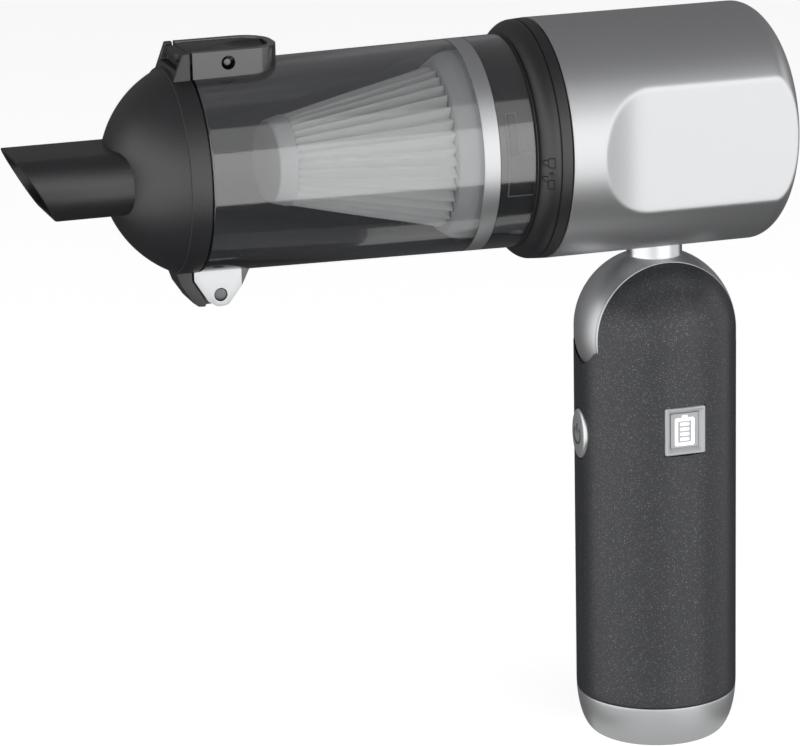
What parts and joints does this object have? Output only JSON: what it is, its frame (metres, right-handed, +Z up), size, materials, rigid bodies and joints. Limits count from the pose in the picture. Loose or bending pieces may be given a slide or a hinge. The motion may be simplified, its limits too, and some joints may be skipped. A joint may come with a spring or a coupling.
{
  "type": "handheld vacuum",
  "caption": "Cordless handheld vacuum: a round handle that stands on its base, a folding ball neck, a motor shell, a clear dust bin over a pleated filter and a flip-down nozzle nose.",
  "frame": {"origin": "centre of the handle's flat base, on its underside", "axes": "+Z up along the handle, -X towards the nozzle, -Y towards the side with the display"},
  "size_m": [0.2282, 0.0696, 0.2197],
  "materials": {
    "handle_paint": "charcoal paint with a fine metal speckle, satin",
    "silver_paint": "silver metallic paint, satin",
    "neck_metal": "satin anodised",
    "black_plastic": "fine moulded texture",
    "smoky_clear": "clear smoked plastic, polished",
    "white_plastic": "moulded",
    "display_plastic": "light window, bevelled edge",
    "filter_cloth": "folded filter cloth",
    "steel": "turned or pressed",
    "soft_rubber": "moulded",
    "flap_silicone": "thin moulded sheet",
    "circuit_board": "fibre board with parts",
    "cell_can": "plastic-wrapped cell can",
    "rotor_copper": "wound core",
    "foam": "open foam"
  },
  "bodies": {
    "handle": {"handle_shell": "handle_paint", "base_cap": "silver_paint", "charging_port": "steel", "charging_board": "circuit_board", "cell_holder_lower": "white_plastic", "cell_holder_upper": "white_plastic", "control_board": "circuit_board", "display_window": "display_plastic", "display_board": "circuit_board", "button_switch": "black_plastic", "pivot_axle": "steel", "axle_cap": "handle_paint", "detent_ball": "steel", "detent_spring": "steel", "battery_cell_1": "cell_can", "battery_cell_2": "cell_can", "battery_cell_3": "cell_can"},
    "power_button": {"power_button": "silver_paint"},
    "head": {"hub_ball": "silver_paint", "neck_tube": "neck_metal", "neck_screw_front": "steel", "neck_screw_rear": "steel", "motor_shell": "silver_paint", "adapter_ring": "black_plastic", "bin_gasket": "soft_rubber", "fan_shroud": "black_plastic", "motor_can": "steel", "motor_end_bell": "white_plastic", "motor_mount_front": "soft_rubber", "motor_mount_rear": "soft_rubber", "exhaust_foam": "foam", "exhaust_grille": "black_plastic", "filter_end_cap": "white_plastic", "filter_pleats": "filter_cloth", "filter_collar": "white_plastic", "filter_seal": "soft_rubber"},
    "impeller": {"impeller": "white_plastic", "motor_shaft": "steel", "rotor_core": "rotor_copper"},
    "bin": {"bin_shell": "smoky_clear", "bin_band": "silver_paint", "latch_housing": "black_plastic", "latch_pin": "steel", "latch_spring": "steel", "hinge_bracket": "neck_metal", "hinge_pin": "steel"},
    "latch": {"latch_lever": "black_plastic"},
    "nose": {"nose_cap": "black_plastic", "nose_seal": "soft_rubber", "flap_pin": "steel"},
    "flap": {"inlet_flap": "flap_silicone"}
  },
  "joints": [
    {"name": "handle_fold", "type": "hinge", "parent": "handle", "child": "head", "pos_m": [0, 0, 0.1246], "axis": [0, 1, 0], "range_deg": [-90, 90]},
    {"name": "power_press", "type": "slide", "parent": "handle", "child": "power_button", "axis": [1, 0, 0], "range_m": [0, 0.0008], "stiffness_N_per_m": 500, "springref_m": -0.002},
    {"name": "impeller_spin", "type": "hinge", "parent": "head", "child": "impeller", "pos_m": [0, 0, 0.1848], "axis": [1, 0, 0], "continuous": true},
    {"name": "bin_twist", "type": "hinge", "parent": "head", "child": "bin", "pos_m": [-0.09, 0, 0.1848], "axis": [-1, 0, 0], "range_deg": [0, 22]},
    {"name": "latch_press", "type": "hinge", "parent": "bin", "child": "latch", "pos_m": [-0.1305, 0, 0.2163], "axis": [0, 1, 0], "range_deg": [0, 6], "stiffness_Nm_per_rad": 0.4, "springref_deg": -5.73, "deforming": ["latch_spring"]},
    {"name": "nose_open", "type": "hinge", "parent": "bin", "child": "nose", "pos_m": [-0.1335, 0, 0.1489], "axis": [0, -1, 0], "range_deg": [0, 90]},
    {"name": "flap_swing", "type": "hinge", "parent": "nose", "child": "flap", "pos_m": [-0.1501, 0, 0.1955], "axis": [0, -1, 0], "range_deg": [0, 70]}
  ]
}
